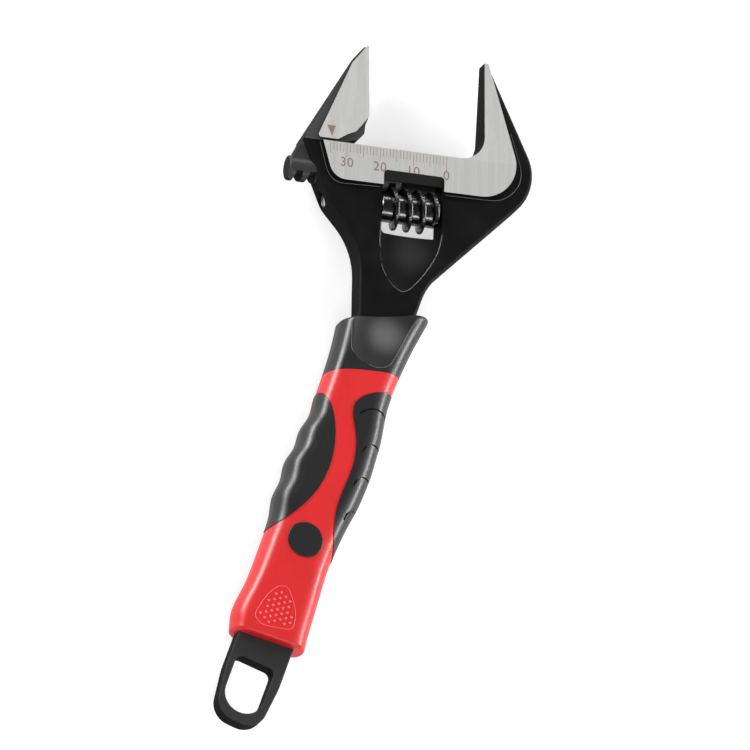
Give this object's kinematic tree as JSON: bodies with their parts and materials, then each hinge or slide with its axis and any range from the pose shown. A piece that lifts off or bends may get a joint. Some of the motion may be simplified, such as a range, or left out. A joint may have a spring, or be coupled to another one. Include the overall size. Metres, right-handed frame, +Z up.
{
  "type": "adjustable wrench",
  "caption": "Wide-opening thin-jaw adjustable wrench with sliding jaw, worm drive, millimetre scale, hanging hole and red and black moulded grip.",
  "frame": {"origin": "centre of the footprint, on the surface the wrench lies on", "axes": "+X along the sliding jaw's travel towards the fixed jaw, +Y along the jaws from handle to tips, +Z up through the thickness"},
  "size_m": [0.0894, 0.2086, 0.0144],
  "materials": {
    "forged_black": "satin black forging with ground bright faces",
    "ground_steel": "ground faces on a dark forging",
    "worm_black": "black oxide, knurled",
    "pin_steel": "bright turned",
    "etched_mark": "matt etched marking",
    "grip_red": "satin moulded",
    "grip_black": "soft satin moulded"
  },
  "bodies": {
    "frame": {"body": "forged_black", "worm_pin": "pin_steel", "grip_sleeve": "grip_red", "grip_collar": "grip_black", "grip_pad_left": "grip_black", "grip_pad_right": "grip_black", "grip_plug_front": "grip_black", "grip_plug_back": "grip_black"},
    "jaw": {"moving_jaw": "ground_steel"},
    "worm": {"worm": "worm_black", "worm_spring": "pin_steel"}
  },
  "joints": [
    {"name": "jaw_slide", "type": "slide", "parent": "frame", "child": "jaw", "axis": [1, 0, 0], "range_m": [-0.0012, 0.0347]},
    {"name": "worm_spin", "type": "hinge", "parent": "frame", "child": "worm", "pos_m": [0.00873, 0.05686, 0.00721], "axis": [1, 0, 0], "range_deg": [-3140, 120]}
  ],
  "couplings": [
    {"joint": "worm_spin", "follows": "jaw_slide", "rad_per_m": -1570.8}
  ]
}
